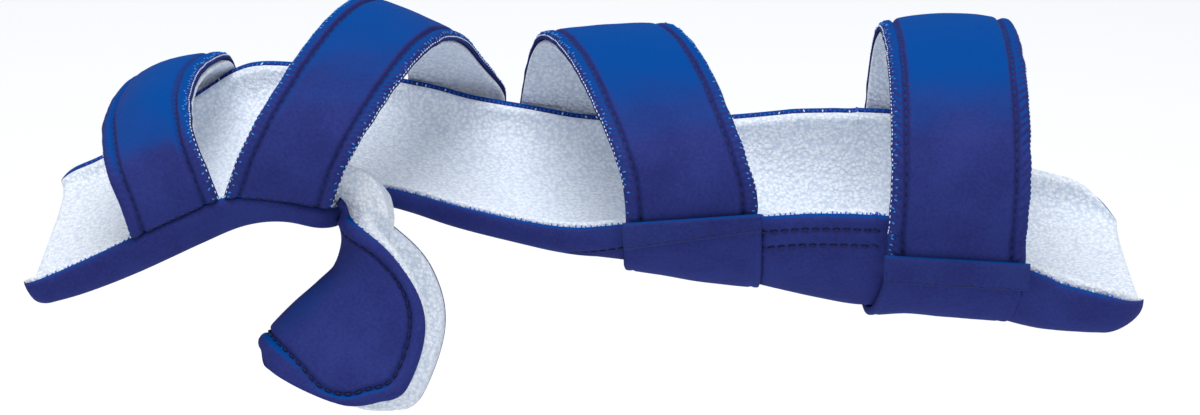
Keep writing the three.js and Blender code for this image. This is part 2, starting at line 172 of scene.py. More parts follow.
class Trough:
    def __init__(self, table, roll=0.0, middle=0.0, window=TINY):
        self.table = table
        self.window = window
        self.up = Vector((0, math.sin(roll), math.cos(roll)))
        self.side = Vector((0, math.cos(roll), -math.sin(roll)))
        self.middle = middle
        self.known = {}
        points = [self.line(n / STEPS) for n in range(STEPS + 1)]
        self.xs = [point.x for point in points]
        self.runs = running_lengths(points)
        self.length = self.runs[-1]

    def line(self, share):
        row = row_at(self.table, share)
        return Vector((row.x, row.z))

    def share_of(self, run):
        """The share of the table at a distance along the spine."""
        return share_at(self.runs, min(max(run, 0), self.length))

    def run_at(self, x):
        """The distance along the spine at a given x, for a spine that runs one way."""
        n = min(max(bisect_left(self.xs, x), 1), len(self.xs) - 1)
        part = (x - self.xs[n - 1]) / (self.xs[n] - self.xs[n - 1])
        return self.runs[n - 1] + part * (self.runs[n] - self.runs[n - 1])

    def section(self, row, t):
        angle = t * math.pi / 2
        power = 2 / row.square
        width, rise = (row.near_width, row.near_rise) if t < 0 else (row.far_width, row.far_rise)
        out = abs(math.sin(angle)) ** power
        drop = max(math.cos(angle), 0) ** power
        return Vector((math.copysign(width * out, t), rise * (1 - drop)))

    def at_run(self, run):
        """Everything that one section needs, worked out once for each distance."""
        key = round(run, 4)
        if key not in self.known:
            share = self.share_of(run)
            row = row_at(self.table, share)
            ahead = self.line(min(share + self.window, 1)) - self.line(max(share - self.window, 0))
            ahead.normalize()
            normal = Vector((-ahead.y, 0, 0)) + self.up * ahead.x
            origin = Vector((row.x, 0, 0)) + self.up * row.z + self.side * self.middle
            lengths = {}
            for sign in (-1, 1):
                points = [self.section(row, sign * n / SAMPLES) for n in range(SAMPLES + 1)]
                lengths[sign] = running_lengths(points)
            self.known[key] = (row, origin, normal, lengths)
        return self.known[key]

    def reach(self, run, q):
        """The cloth's length from the floor's middle to the rim on the side of q."""
        return self.at_run(run)[3][-1 if q < 0 else 1][-1]

    def turned(self, run, t, depth):
        """A point by the section's own angle; depth goes out through the wall."""
        row, origin, normal = self.at_run(run)[:3]
        here = self.section(row, t)
        ahead = self.section(row, min(t + TINY, 1)) - self.section(row, max(t - TINY, -1))
        ahead.normalize()
        across = here.x + ahead.y * depth
        height = here.y - ahead.x * depth
        return origin + self.side * across + normal * height

    def place(self, run, q, depth):
        """A point by the share of the cloth's length from floor to rim."""
        sign = -1 if q < 0 else 1
        sums = self.at_run(run)[3][sign]
        wanted = min(abs(q), 1) * sums[-1]
        n = max(bisect_left(sums, wanted), 1)
        span = max(sums[n] - sums[n - 1], SHORTEST)
        return self.turned(run, sign * (n - 1 + (wanted - sums[n - 1]) / span) / SAMPLES, depth)


tray = Trough(TRAY)
print("spine length:", round(tray.length), "mm")

# %% [markdown]
# Materials next. The blue is a brushed loop cloth: a knit whose face is combed
# into fine loops for hook tape to grip. It has no shine. Painted top light makes it a
# clearer blue where a face points up. An image could give the same look, but noise
# keeps its grain at a true size on every piece. Grain finer than a pixel is drawn at 0.9 mm.

# %% Blue loop cloth
CLOTH_GRAIN = 0.9 * MM
CLOTH_MOTTLE = 14 * MM
# painted top light: from this height of the normal the colour starts to turn to the clearer blue, in full
# where a face points straight up
PAINTED_LIGHT_FROM, PAINTED_LIGHT_FULL = 0.66, 1.0
MIX_FACTOR, MIX_FIRST, MIX_SECOND, MIX_COLOUR = 0, 6, 7, 2


def colour(text):
    """A web colour as the linear values that Blender works with."""
    parts = [int(text[n:n + 2], 16) / 255 for n in (1, 3, 5)]
    linear = [c / 12.92 if c <= 0.04045 else ((c + 0.055) / 1.055) ** 2.4 for c in parts]
    return (*linear, 1.0)


def add_node(tree, kind, inputs=None, **settings):
    """One node: settings are its own, inputs are values or another node's output."""
    node = tree.nodes.new(kind)
    for name, value in settings.items():
        setattr(node, name, value)
    for name, value in (inputs or {}).items():
        if isinstance(value, bpy.types.NodeSocket):
            tree.links.new(value, node.inputs[name])
        else:
            node.inputs[name].default_value = value
    return node


def new_material(name):
    material = bpy.data.materials.new(name)
    material.use_nodes = True
    tree = material.node_tree
    return material, tree, tree.nodes["Principled BSDF"]


# brushed loop cloth: a matt, slightly mottled royal blue, with painted top light: clear is a clearer blue
# mixed in where a face points up
def loop_cloth(name, dark, light, clear):
    material, tree, shader = new_material(name)
    where = add_node(tree, "ShaderNodeTexCoord").outputs["Object"]
    grain = add_node(tree, "ShaderNodeTexNoise",
                     {"Vector": where, "Scale": 1 / CLOTH_GRAIN, "Detail": 3.0})
    mottle = add_node(tree, "ShaderNodeTexNoise",
                      {"Vector": where, "Scale": 1 / CLOTH_MOTTLE, "Detail": 2.0})
    mixed = add_node(tree, "ShaderNodeMath", {0: grain.outputs[0], 1: mottle.outputs[0]}, operation="ADD")
    span = add_node(tree, "ShaderNodeMapRange",
                    {"Value": mixed.outputs[0], "From Min": 0.75, "From Max": 1.25})
    base = add_node(tree, "ShaderNodeMix",
                    {MIX_FACTOR: span.outputs[0], MIX_FIRST: colour(dark), MIX_SECOND: colour(light)},
                    data_type="RGBA").outputs[MIX_COLOUR]
    # painted top light: the cloth's colour is mixed towards a clearer blue where the face points up,
    # standing in for the light from above
    facing = add_node(tree, "ShaderNodeNewGeometry").outputs["Normal"]
    height = add_node(tree, "ShaderNodeSeparateXYZ", {0: facing}).outputs["Z"]
    painted_top_light = add_node(tree, "ShaderNodeMapRange",
                   {"Value": height, "From Min": PAINTED_LIGHT_FROM, "From Max": PAINTED_LIGHT_FULL},
                   interpolation_type="SMOOTHSTEP")
    lit = add_node(tree, "ShaderNodeMix",
                   {MIX_FACTOR: painted_top_light.outputs[0], MIX_FIRST: base, MIX_SECOND: colour(clear)},
                   data_type="RGBA").outputs[MIX_COLOUR]
    tree.links.new(lit, shader.inputs["Base Color"])
    bump = add_node(tree, "ShaderNodeBump",
                    {"Height": grain.outputs[0], "Strength": 0.45, "Distance": 0.4 * MM})
    tree.links.new(bump.outputs[0], shader.inputs["Normal"])
    shader.inputs["Roughness"].default_value = 0.92
    shader.inputs["Specular IOR Level"].default_value = 0.04
    shader.inputs["Sheen Weight"].default_value = 0.03
    shader.inputs["Sheen Roughness"].default_value = 0.45
    shader.inputs["Sheen Tint"].default_value = colour("#5f8fe0")
    return material


# the third colour of each cloth is its painted top light, the clearer blue of faces that point up
blue_cloth = loop_cloth("brushed_loop_cloth", "#282e6c", "#2e387b", "#00428e")
hook_cloth = loop_cloth("hook_tape_cloth", "#262c68", "#2c3776", "#044088")
print("materials:", blue_cloth.name, hook_cloth.name)

# %% [markdown]
# The lining is terry cloth: a white cotton with small loops that stand up all
# over. Voronoi cells a little over a millimetre wide stand for the loops. The
# gaps between loops are greyer and bluer, as the cloth shades itself there.

# %% White terry
TERRY_LOOP = 1.2 * MM


# terry lining: a soft bluish white with a fine pebbled pile
def terry_cloth(name):
    material, tree, shader = new_material(name)
    where = add_node(tree, "ShaderNodeTexCoord").outputs["Object"]
    loops = add_node(tree, "ShaderNodeTexVoronoi", {"Vector": where, "Scale": 1 / TERRY_LOOP})
    fibre = add_node(tree, "ShaderNodeTexNoise",
                     {"Vector": where, "Scale": 2 / TERRY_LOOP, "Detail": 3.0})
    pile = add_node(tree, "ShaderNodeMath", {0: fibre.outputs[0], 1: loops.outputs["Distance"]},
                    operation="SUBTRACT")
    span = add_node(tree, "ShaderNodeMapRange",
                    {"Value": pile.outputs[0], "From Min": -0.25, "From Max": 0.3})
    base = add_node(tree, "ShaderNodeMix",
                    {MIX_FACTOR: span.outputs[0], MIX_FIRST: colour("#cdd8e8"),
                     MIX_SECOND: colour("#eef3fb")},
                    data_type="RGBA").outputs[MIX_COLOUR]
    tree.links.new(base, shader.inputs["Base Color"])
    bump = add_node(tree, "ShaderNodeBump",
                    {"Height": pile.outputs[0], "Strength": 0.7, "Distance": 0.6 * MM})
    tree.links.new(bump.outputs[0], shader.inputs["Normal"])
    shader.inputs["Roughness"].default_value = 0.95
    shader.inputs["Specular IOR Level"].default_value = 0.1
    shader.inputs["Sheen Weight"].default_value = 0.2
    return material


white_terry = terry_cloth("white_terry_cloth")
print("material:", white_terry.name)

# %% [markdown]
# Sewing thread is polyester, smoother than the cloth, so it has a faint shine.
# Four colours show: a dark navy in the seams, a white looper thread on the cut
# edges, a bright azure needle thread beside it and a mid blue on the rims. Thread
# this fine needs no pattern of its own, so its colour is plain.

# %% Threads
# polyester thread: a plain colour with a weak, broad highlight
def thread(name, shade):
    material, _, shader = new_material(name)
    shader.inputs["Base Color"].default_value = colour(shade)
    shader.inputs["Roughness"].default_value = 0.6
    shader.inputs["Specular IOR Level"].default_value = 0.3
    return material


navy_thread = thread("navy_polyester_thread", "#0d1440")
white_thread = thread("white_polyester_thread", "#cfdff2")
azure_thread = thread("azure_polyester_thread", "#2f84d0")
blue_thread = thread("blue_polyester_thread", "#3554c4")
print("threads: navy, white, azure, blue")

# %% [markdown]
# A padded wall is one sheet folded round its filling. Here it is a grid whose
# second half lies under the first: the two long edges meet, and the ends close.
# A solidified sheet would do the same, but its edges would be square, and a sewn
# pad's edges are round. The rows across are set close where the sewing will be.

# %% A rolled grid
MERGE = 2e-6


def round_off(distance, radius):
    """How full a rounded edge is at a distance from it, from 0 to 1."""
    short = 1 - min(max(distance / radius, 0), 1)
    return math.sqrt(max(1 - short * short, 0))


def bell(distance, width):
    """A smooth bump of height 1."""
    return math.exp(-(distance / width) ** 2)


def stations(reach, fine, fine_step, coarse_step):
    """Places across a wall from -1 to 1: close together near both edges."""
    insets = [fine_step * n for n in range(int(fine / fine_step) + 1)]
    coarse = max(round((reach - insets[-1]) / coarse_step), 1)
    insets += [insets[-1] + (reach - insets[-1]) * n / coarse for n in range(1, coarse + 1)]
    half = [1 - inset / reach for inset in insets]
    return [-q for q in half] + half[-2::-1]


def lengthwise(length, step, fine, fine_step):
    """Shares along a piece from 0 to 1: close together near both ends."""
    return [(q + 1) / 2 for q in stations(length / 2, fine, fine_step, step)]


def rolled_grid(name, along, across, surface, material):
    """surface(share along, place across, is it the upper side) gives a point in mm."""
    rows, count = len(along) - 1, len(across) - 1
    bm = bmesh.new()
    bmesh.ops.create_grid(bm, x_segments=rows, y_segments=2 * count, size=0.5)
    for vertex in bm.verts:
        share = along[round((vertex.co.x + 0.5) * rows)]
        step = round((vertex.co.y + 0.5) * 2 * count)
        upper = step <= count
        vertex.co = surface(share, across[step if upper else 2 * count - step], upper) * MM
    bmesh.ops.remove_doubles(bm, verts=bm.verts, dist=MERGE)
    bmesh.ops.recalc_face_normals(bm, faces=bm.faces)
    return finished(bm, name, material)


def finished(bm, name, material):
    mesh = bpy.data.meshes.new(name)
    bm.to_mesh(mesh)
    bm.free()
    return smooth_piece(name, mesh, material)


def smooth_piece(name, mesh, material):
    mesh.shade_smooth()
    mesh.materials.append(material)
    piece = bpy.data.objects.new(name, mesh)
    bpy.context.scene.collection.objects.link(piece)
    return piece


def declare(piece, node):
    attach(piece, "root")
    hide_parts(node)
    print(piece.name, len(piece.data.polygons), "faces")


print("helpers ready")

# %% [markdown]
# The long trough: terry inside, loop cloth outside, 4 mm and 3.5 mm of padded
# wall. On the real one both layers are cut flat, sewn face to face and turned, so
# the padding thins out towards both ends and the layers close on one seam there.
# The terry rolls up over the rim at the forearm end. The blue shell has two rows of
# sewing below its rim, and they pull shallow grooves into the padding.

# %% The long trough
LINING = 4.0
COVER = 3.5
GAP = 0.3
WALL = LINING + GAP + COVER
RIM_ROUND = 1.9
FINGER_TAPER, FINGER_LEFT = 6.0, 0.4
ELBOW_TAPER, ELBOW_LEAD = 13.0, 8.0
RIM_ROWS = (4.3, 8.8)
RIM_ROW_START, RIM_ROW_END, RIM_ROW_FADE = -8.0, 84.0, 6.0
RIM_GROOVE, RIM_GROOVE_WIDTH = 0.7, 0.9
LIP_START, LIP_RISEN, LIP_FALLS, LIP_END = 112.0, 122.0, 150.0, 158.0
LIP_HEIGHT, LIP_FROM = 1.6, 0.86
Wave = namedtuple("Wave", "size height")
COVER_WAVE = Wave(26, 0.35)
LINING_WAVES = (Wave(17, 0.5), Wave(3.2, 0.25))


def step_up(value, start, end):
    """0 before start, 1 after end and an easy curve between."""
    t = min(max((value - start) / (end - start), 0), 1)
    return t * t * (3 - 2 * t)


def soft_wave(point, wave):
    return wave.height * noise.noise(point / wave.size)


def tray_wall(inner, outer, seam, detail, lift):
    """A layer of the wall; it tapers at both ends and closes on the seam between the layers."""
    def surface(share, q, upper):
        run = share * tray.length
        rim = (1 - abs(q)) * tray.reach(run, q)
        close = round_off(min(run, tray.length - run), RIM_ROUND)
        full = round_off(rim, RIM_ROUND) * close
        middle = seam + ((inner + outer) / 2 - seam) * close
        half = (outer - inner) / 2 * full
        taper = FINGER_LEFT + (1 - FINGER_LEFT) * round_off(run, FINGER_TAPER)
        taper *= step_up(tray.length - run, -ELBOW_LEAD, ELBOW_TAPER)
        depth = taper * (middle + (half if upper else -half))
        base = tray.place(run, q, depth)
        return tray.place(run, q, depth + full * detail(base, rim, upper)) + lift(base, q)
    return surface


def no_lip(point, q):
    return Vector((0, 0, 0))


def terry_lip(point, q):
    """The terry stands above the shell's rim at the forearm end."""
    along = step_up(point.x, LIP_START, LIP_RISEN) * (1 - step_up(point.x, LIP_FALLS, LIP_END))
    return Vector((0, 0, LIP_HEIGHT * along * step_up(abs(q), LIP_FROM, 1)))


def cover_detail(point, rim, upper):
    if not upper:
        return 0
    started = step_up(point.x, RIM_ROW_START - RIM_ROW_FADE, RIM_ROW_START)
    ended = step_up(point.x, RIM_ROW_END - RIM_ROW_FADE, RIM_ROW_END)
    grooves = sum(bell(rim - row, RIM_GROOVE_WIDTH) for row in RIM_ROWS)
    return soft_wave(point, COVER_WAVE) - RIM_GROOVE * (started * (1 - ended)) * grooves


def lining_detail(point, rim, upper):
    return 0 if upper else sum(soft_wave(point, wave) for wave in LINING_WAVES)


TRAY_ACROSS = stations(50, 11, 0.5, 2.2)
TRAY_ALONG = lengthwise(tray.length, 1.0, 3, 0.25)
trough_cover = rolled_grid("trough_cover_cloth", TRAY_ALONG, TRAY_ACROSS,
                           tray_wall(LINING + GAP, WALL, LINING + GAP, cover_detail, no_lip), blue_cloth)
trough_lining = rolled_grid("trough_lining_terry", TRAY_ALONG, TRAY_ACROSS,
                            tray_wall(0, LINING, LINING, lining_detail, terry_lip), white_terry)
declare(trough_cover, "tray_cover")
declare(trough_lining, "tray_lining")

# %% [markdown]
# Straps are bands of padded loop cloth with a terry lining. The face has a puffy
# bound edge about 4 mm wide, a stitched groove inside it, then the flat middle.
# The binding is gathered a little, so fine ribs run across it. A flat band bent
# by a curve would do for the form, but the ribs and the groove need real depth.

# %% A strap as a surface
STRAP_LINING = 2.0
STRAP_FACE = 2.2
STRAP_WALL = STRAP_LINING + GAP + STRAP_FACE
SEAT_LIFT = 0.6
RIM_LIFT = 0.8
Strand = namedtuple("Strand", "x y z slope")
End = namedtuple("End", "width near_x near_slope far_x far_slope")


class Strap:
    """A band of a given width that follows a smooth path; slope tips it lengthwise."""

    def __init__(self, width, rows, sewn=False):
        self.width = width
        self.rows = rows
        self.sewn = sewn
        self.ends = {}
        self.known = {}
        self.runs = running_lengths([self.point(n / STEPS) for n in range(STEPS + 1)])
        self.length = self.runs[-1]

    def point(self, share):
        row = row_at(self.rows, share)
        return Vector((row.x, row.y, row.z))

    def at_run(self, run):
        key = round(run, 4)
        if key not in self.known:
            share = share_at(self.runs, min(max(run, 0), self.length))
            slope = math.radians(row_at(self.rows, share).slope)
            across = Vector((math.cos(slope), 0, math.sin(slope)))
            ahead = self.point(min(share + TINY, 1)) - self.point(max(share - TINY, 0))
            normal = across.cross(ahead).normalized()
            self.known[key] = (self.point(share), across, normal)
        return self.known[key]

    def place(self, run, q, height):
        """q goes from -1 at the finger side of the strap to 1 at the elbow side."""
        point, across, normal = self.at_run(run)
        return point + across * (q * self.width / 2) + normal * height


def tray_slope(run, q):
    """How the wall tips lengthwise at a place, in degrees."""
    ahead = tray.place(run + 0.5, q, WALL) - tray.place(run - 0.5, q, WALL)
    return math.degrees(math.atan2(ahead.z, ahead.x))


def rim_line(x, lift):
    """The near rim's point at x; the wall leans lengthwise, so that is taken back."""
    depth = WALL - STRAP_WALL
    lean = tray.place(tray.run_at(x), -1, depth).x - x
    run = tray.run_at(x - lean)
    return tray.place(run, -1, depth) + tray.at_run(run)[2] * lift, run


def on_rim(x):
    point, run = rim_line(x, RIM_LIFT)
    return Strand(*point, tray_slope(run, -1))


def off_wall(x, t, lift):
    """A point that stands off the wall's outer face, with the wall's lean taken back."""
    depth = WALL + SEAT_LIFT + lift
    lean = tray.turned(tray.run_at(x), t, depth).x - x
    return tray.turned(tray.run_at(x - lean), t, depth)


def on_wall(x, shares, slope):
    return [Strand(*off_wall(x, t, 0), slope) for t in shares]


print("strap wall", STRAP_WALL, "mm")

# %% [markdown]
# What meets the trough is trimmed clear of it, as a tailor trims a seam. A block
# of the trough's own form, grown by a little, is taken away from the piece with a
# Boolean modifier. Only the largest rest is kept, so no scrap is left behind.

# %% Trimming
def trough_block(room):
    grown = Trough([row._replace(near_rise=row.near_rise + room, far_rise=row.far_rise + room)
                    for row in TRAY])

    def surface(share, q, upper):
        run = share * grown.length
        closed = 0.0 if abs(q) == 1 or share in (0, 1) else 1.0
        middle, half = WALL / 2, (WALL / 2 + room) * closed
        return grown.place(run, q, middle + (half if upper else -half))

    across = stations(50, 1, 0.1, 2.5)
    return rolled_grid("trim_block", lengthwise(grown.length, 1.6, 0.5, 0.1), across, surface, blue_cloth)


def keep_largest(mesh):
    bm = bmesh.new()
    bm.from_mesh(mesh)
    unseen = set(bm.verts)
    islands = []
    while unseen:
        todo = [unseen.pop()]
        island = list(todo)
        while todo:
            for edge in todo.pop().link_edges:
                for vertex in edge.verts:
                    if vertex in unseen:
                        unseen.remove(vertex)
                        island.append(vertex)
                        todo.append(vertex)
        islands.append(island)
    islands.sort(key=len)
    bmesh.ops.delete(bm, geom=[v for island in islands[:-1] for v in island], context="VERTS")
    bm.to_mesh(mesh)
    bm.free()


def trim_clear(piece, block):
    cut = piece.modifiers.new("trim", "BOOLEAN")
    cut.operation = "DIFFERENCE"
    cut.solver = "MANIFOLD"
    cut.object = block
    shown = piece.evaluated_get(bpy.context.evaluated_depsgraph_get())
    mesh = bpy.data.meshes.new_from_object(shown)
    piece.modifiers.clear()
    piece.data = mesh
    keep_largest(mesh)
    mesh.shade_smooth()


strap_room = trough_block(GAP)
thumb_room = trough_block(2 * GAP)
print("trim blocks:", len(strap_room.data.polygons), "faces each")

# %% [markdown]
# There are four straps: the finger, palm and wrist straps and the wide forearm
# strap. Each one arches above the trough. A flat band in use needs no cloth
# simulation, because its stretch holds it, so the curves of the paths are given.
# The two slimmer straps start on the near rim, and the others on the wall below it.

# %% Strap paths
FREE_ROWS = {
    "finger": [
        Strand(-123.5, -46, 23.5, 27),
        Strand(-128, -39, 31.5, 23),
        Strand(-131.3, -19, 34.8, 20),
        Strand(-131.3, 4, 34.2, 20),
        Strand(-129, 25, 31.5, 18),
        Strand(-126.5, 40, 26.5, 20),
    ],
    "palm": [
        Strand(-88.4, -46.5, 31.5, -6),
        Strand(-81.2, -40, 42.8, -10),
        Strand(-70.3, -21, 54, -15),
        Strand(-62, 0, 56, -21),
        Strand(-55.5, 22, 48.5, -25),
        Strand(-50, 38, 34, -20),
    ],
    "wrist": [
        Strand(25.5, -45, 25, -1),
        Strand(21, -38.5, 36, 0),
        Strand(14.5, -22, 46, 4),
        Strand(8, 0, 48.8, 5),
        Strand(2, 22, 45, 4),
        Strand(-2.5, 36.5, 35, 2),
    ],
    "forearm": [
        Strand(102.5, -48.5, 19, 0),
        Strand(103, -44, 33, 0),
        Strand(103.5, -26, 46, 1),
        Strand(104, 0, 50, 1),
        Strand(104, 26, 46, 1),
        Strand(103.5, 44, 33, 0),
    ],
}
ENDS = {
    "finger": End(28, -121.8, 0, -125, 27),
    "palm": End(31, -92.4, 0, -45, -12),
    "wrist": End(38, 27, 8, -6, -6),
    "forearm": End(40, 102.5, -3.5, 102.5, -6),
}
FAR_SEAT = (1, 0.9, 0.8)
WRIST_SEAT = (-0.95, -1)
FOREARM_SEAT = (-0.82, -0.91, -1)

near_rows = {
    "finger": [on_rim(ENDS["finger"].near_x)],
    "palm": [on_rim(ENDS["palm"].near_x)],
    "wrist": on_wall(ENDS["wrist"].near_x, WRIST_SEAT, ENDS["wrist"].near_slope),
    "forearm": on_wall(ENDS["forearm"].near_x, FOREARM_SEAT, ENDS["forearm"].near_slope),
}
straps = {}
for name, end in ENDS.items():
    far_rows = on_wall(end.far_x, FAR_SEAT, end.far_slope)
    sewn = len(near_rows[name]) == 1
    straps[name] = Strap(end.width, near_rows[name] + FREE_ROWS[name] + far_rows, sewn)
    print(name, "strap:", round(straps[name].length), "x", end.width, "mm")

# %% [markdown]
# Each strap then gets its face and its lining. The face swells a little between its
# borders, most of all on the finger and forearm straps, and its edge wavers as sewn
# edges do. All of that is a height over the path, so one function can give it.

# %% Strap faces and linings
EDGE_ROUND = 1.7
EDGE_WAVER = Wave(6, 0.35)
BORDER = 4.3
GROOVE_DEPTH, GROOVE_WIDTH = 1.3, 0.75
RIB_MIDDLE, RIB_SPREAD, RIB_WANDER = 2.1, 1.7, 2.2
FACE_WAVE = Wave(9, 0.22)
LINING_ROUND, LINING_SHARE = 1.0, 0.98
PILE_WAVE = Wave(3, 0.2)
ARCH_STARTS, ARCH_ENDS = (0.12, 0.38), (0.66, 0.9)
FOLLOW = 12.0
SEAM_LIFT = 0.45
CROWN_LEVEL = 0.7
Look = namedtuple("Look", "crown rib_pitch rib_depth rib_lean")
LOOKS = {
    "finger": Look(3.0, 1.7, 0.14, 0.2),
    "palm": Look(0.8, 1.7, 0.14, 0.2),
    "wrist": Look(1.1, 1.7, 0.14, 0.2),
    "forearm": Look(2.6, 2.6, 0.26, 0.9),
}


def strap_bend(strap, look, run, q):
    """The swell across the strap, which fades where it lies on the trough."""
    share = run / strap.length
    arch = step_up(share, *ARCH_STARTS) * (1 - step_up(share, *ARCH_ENDS))
    return look.crown * arch * (CROWN_LEVEL - q * q)


def rim_follow(strap, run, q):
    """A strap that is sewn to the near rim has its end drawn to the rim's own line."""
    if not strap.sewn or run > FOLLOW:
        return Vector((0, 0, 0))
    if q not in strap.ends:
        end = strap.place(0, q, 0)
        strap.ends[q] = rim_line(end.x, SEAM_LIFT)[0] - end
    return strap.ends[q] * (1 - step_up(run, 0, FOLLOW))


def strap_face(strap, look):
    low = STRAP_LINING + GAP

    def surface(share, q, upper):
        run = share * strap.length
        return rim_follow(strap, run, q) + raised(run, q, upper)

    def raised(run, q, upper):
        inset = (1 - abs(q)) * strap.width / 2
        bend = strap_bend(strap, look, run, q)
        waver = EDGE_WAVER.height * noise.noise(Vector((run / EDGE_WAVER.size, q, 3)))
        wavy = q * (1 + waver * abs(q) * 2 / strap.width)
        if not upper:
            return strap.place(run, wavy, low + bend)
        full = round_off(inset, EDGE_ROUND) * round_off(min(run, strap.length - run), EDGE_ROUND)
        turn = 2 * math.pi * (run + look.rib_lean * inset) / look.rib_pitch
        wander = RIB_WANDER * noise.noise(Vector((run / 5, inset / 4, 9 + math.copysign(4, q))))
        ribs = look.rib_depth * bell(inset - RIB_MIDDLE, RIB_SPREAD) * math.sin(turn + wander)
        groove = GROOVE_DEPTH * bell(inset - BORDER, GROOVE_WIDTH)
        place = Vector((run / FACE_WAVE.size, q * strap.width / (2 * FACE_WAVE.size), 1))
        soft = FACE_WAVE.height * noise.noise(place)
        return strap.place(run, wavy, low + bend + full * (STRAP_FACE + ribs + soft - groove))
    return surface


def strap_lining(strap, look):
    def surface(share, q, upper):
        run = share * strap.length
        inset = (1 - abs(q)) * strap.width / 2
        full = round_off(inset, LINING_ROUND) * round_off(min(run, strap.length - run), LINING_ROUND)
        half = STRAP_LINING / 2
        place = Vector((run / PILE_WAVE.size, q * strap.width / (2 * PILE_WAVE.size), 5))
        pile = 0 if upper else PILE_WAVE.height * full * noise.noise(place)
        height = half + (half if upper else -half) * full + pile
        point = strap.place(run, LINING_SHARE * q, height + strap_bend(strap, look, run, q))
        return point + rim_follow(strap, run, q)
    return surface


strap_surfaces = {}
for name, strap in straps.items():
    look = LOOKS[name]
    strap_surfaces[name] = strap_face(strap, look)
    across = stations(strap.width / 2, 6.6, 0.33, 2.4)
    face = rolled_grid(f"{name}_strap_cloth", lengthwise(strap.length, 0.42, 3, 0.25), across,
                       strap_surfaces[name], blue_cloth)
    trim_clear(face, strap_room)
    declare(face, f"{name}_strap")
    across = stations(strap.width / 2, 2, 0.5, 2.0)
    terry = rolled_grid(f"{name}_strap_terry", lengthwise(strap.length, 1.5, 2, 0.4), across,
                        strap_lining(strap, look), white_terry)
    trim_clear(terry, strap_room)
    declare(terry, f"{name}_strap_lining")

# %% [markdown]
# The thumb trough hangs below the long one. Its terry is thick at the web, where the
# two meet, and its shell has a wide hem that is sewn down about 5 mm from the edge.
# A hem follows the rim and then turns along the tip, so its distance is taken
# from whichever edge is nearer, with a smooth change at the corner.

# %% The thumb trough
HEM = 5.0
HEM_CORNER = 6.0
HEM_DEPTH, HEM_WIDTH = 1.3, 0.9
HEM_PUFF, HEM_PUFF_WIDTH = 0.3, 1.6
COVER_START = 10.5
WEB_START, WEB_END = 15.0, 44.0
WEB_PULL, WEB_PULL_ACROSS = 5.0, (0.1, 0.8)
TIP_ROUND = 12.0
TIP_BULGE, TIP_BULGE_FADE = 2.6, 14
TIP_LOBE, TIP_LOBE_WIDTH = 0.85, 0.28
WEB_SWELL = 2.4
WEB_FILL, WEB_FILL_ACROSS = 2.6, (0.5, 0.95)
WEB_SPREAD = 8
THUMB_COVER_WAVE = Wave(14, 0.4)
THUMB_LINING_WAVES = (Wave(9, 0.6), Wave(3, 0.25))
THUMB_WINDOW = 0.06


class ThumbTrough(Trough):
    def place(self, run, q, depth):
        """The section's point, with the tip rounded and the shell drawn back at the web."""
        short = max(TIP_ROUND - (self.length - run), 0)
        cut = TIP_ROUND - math.sqrt(TIP_ROUND ** 2 - short ** 2)
        point = super().place(run, q * (1 - cut / self.reach(run, q)), depth)
        origin, normal = self.at_run(run)[1:3]
        bulge = TIP_BULGE * step_up(run, self.length - TIP_BULGE_FADE, self.length)
        point += self.side.cross(normal) * (bulge * bell(abs(q) - TIP_LOBE, TIP_LOBE_WIDTH))
        if depth > LINING:
            height = (point - origin).dot(normal)
            pull = WEB_PULL * (1 - step_up(run, WEB_START, WEB_END)) * step_up(-q, *WEB_PULL_ACROSS)
            point -= normal * pull * min(max(1 + height / WALL, 0), 1)
        return point


def nearer(a, b, corner):
    """The smaller of two distances, rounded where they are alike."""
    close = max(corner - abs(a - b), 0)
    return min(a, b) - close * close / (4 * corner)


def thumb_edges(run, q):
    rim = (1 - abs(q)) * thumb.reach(run, q)
    return rim, thumb.length - run


def thumb_cover_surface(share, q, upper):
    run = COVER_START + share * (thumb.length - COVER_START)
    rim, tip = thumb_edges(run, q)
    full = round_off(rim, RIM_ROUND) * round_off(min(tip, run - COVER_START), RIM_ROUND)
    middle, half = LINING + GAP + COVER / 2, COVER / 2
    if not upper:
        return thumb.place(run, q, middle - half * full)
    hem = nearer(rim, tip, HEM_CORNER)
    groove = HEM_DEPTH * bell(hem - HEM, HEM_WIDTH)
    puff = soft_wave(thumb.place(run, q, middle), THUMB_COVER_WAVE)
    puff += HEM_PUFF * bell(hem - HEM / 2, HEM_PUFF_WIDTH)
    puff += WEB_SWELL * bell(run - WEB_START, WEB_SPREAD)
    return thumb.place(run, q, middle + full * (half + puff - groove))


def thumb_lining_surface(share, q, upper):
    run = share * thumb.length
    rim, tip = thumb_edges(run, q)
    row = thumb.at_run(run)[0]
    full = round_off(rim, RIM_ROUND) * round_off(min(tip, run), RIM_ROUND)
    outer = LINING + WEB_FILL * bell(run - WEB_START, WEB_SPREAD) * step_up(-q, *WEB_FILL_ACROSS)
    inner = -row.pad
    middle, half = (inner + outer) / 2, (outer - inner) / 2
    if upper:
        return thumb.place(run, q, middle + half * full)
    base = thumb.place(run, q, inner)
    pile = sum(soft_wave(base, wave) for wave in THUMB_LINING_WAVES)
    return thumb.place(run, q, middle - full * (half + pile))


thumb = ThumbTrough(THUMB, THUMB_ROLL, THUMB_MIDDLE, THUMB_WINDOW)
thumb_across = stations(36, 8, 0.45, 1.5)
thumb_along = lengthwise(thumb.length, 0.6, 9, 0.35)
thumb_cover = rolled_grid("thumb_cover_cloth", thumb_along, thumb_across,
                          thumb_cover_surface, blue_cloth)
trim_clear(thumb_cover, thumb_room)
declare(thumb_cover, "thumb_cover")
thumb_lining = rolled_grid("thumb_lining_terry", thumb_along, thumb_across,
                           thumb_lining_surface, white_terry)
trim_clear(thumb_lining, thumb_room)
declare(thumb_lining, "thumb_lining")

